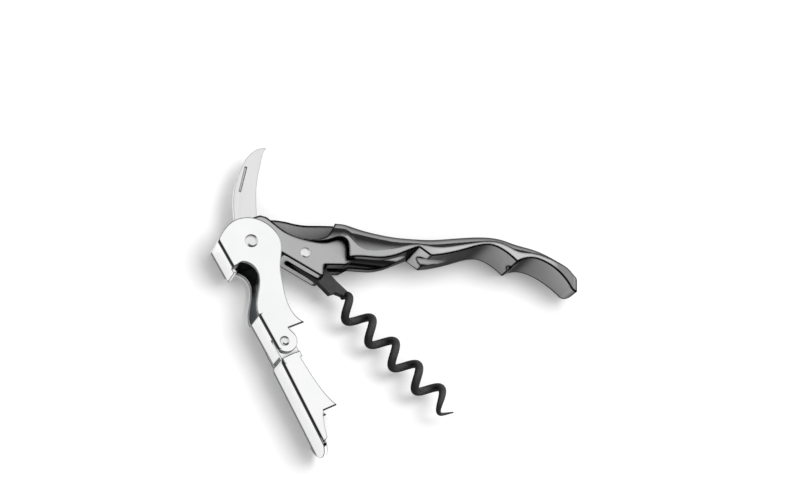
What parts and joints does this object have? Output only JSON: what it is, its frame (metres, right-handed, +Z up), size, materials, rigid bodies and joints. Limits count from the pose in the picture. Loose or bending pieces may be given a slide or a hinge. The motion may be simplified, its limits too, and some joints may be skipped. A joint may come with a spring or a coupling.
{
  "type": "double lever corkscrew",
  "caption": "Waiter's corkscrew with a cast finger-grip handle, jointed two-step lever with cap lifter, folding worm and folding foil knife.",
  "frame": {"origin": "centre of the bounding box's underside; the tool lies on its side with the levers half open, as in the picture's lower example", "axes": "+X from the pivoted head towards the handle's tail, +Y towards the back of the handle, +Z up across the tool's width, along every pivot"},
  "size_m": [0.1232, 0.1002, 0.0156],
  "materials": {
    "gunmetal": "polished black nickel plate on a zinc casting",
    "lever_chrome": "bright plated folded steel sheet",
    "black_coat": "black low-friction coating, satin",
    "blade_steel": "ground stainless steel",
    "spring_steel": "plain spring steel",
    "rivet_steel": "bright domed rivet"
  },
  "bodies": {
    "handle": {"handle_body": "gunmetal", "head_rivet": "rivet_steel", "worm_rivet": "rivet_steel", "knife_spring": "spring_steel", "washer_near": "spring_steel", "washer_far": "spring_steel"},
    "upper_lever": {"upper_lever": "lever_chrome", "hinge_rivet": "rivet_steel"},
    "lower_lever": {"lower_lever": "lever_chrome"},
    "worm": {"worm": "black_coat"},
    "knife": {"knife_blade": "blade_steel"}
  },
  "joints": [
    {"name": "lever_pivot", "type": "hinge", "parent": "handle", "child": "upper_lever", "pos_m": [-0.05105, 0.01543, 0.0078], "axis": [0, 0, -1], "range_deg": [-57.5, 57]},
    {"name": "lower_lever_hinge", "type": "hinge", "parent": "upper_lever", "child": "lower_lever", "pos_m": [-0.03835, -0.01617, 0.0078], "axis": [0, 0, -1], "range_deg": [0, 56]},
    {"name": "worm_pivot", "type": "hinge", "parent": "handle", "child": "worm", "pos_m": [-0.03295, 0.01453, 0.0078], "axis": [0, 0, -1], "range_deg": [-42.41, 42.1]},
    {"name": "knife_pivot", "type": "hinge", "parent": "handle", "child": "knife", "pos_m": [-0.05105, 0.01543, 0.0078], "axis": [0, 0, 1], "range_deg": [-69, 3]}
  ],
  "couplings": [
    {"joint": "worm_pivot", "follows": "lever_pivot", "ratio": 0.7374}
  ]
}
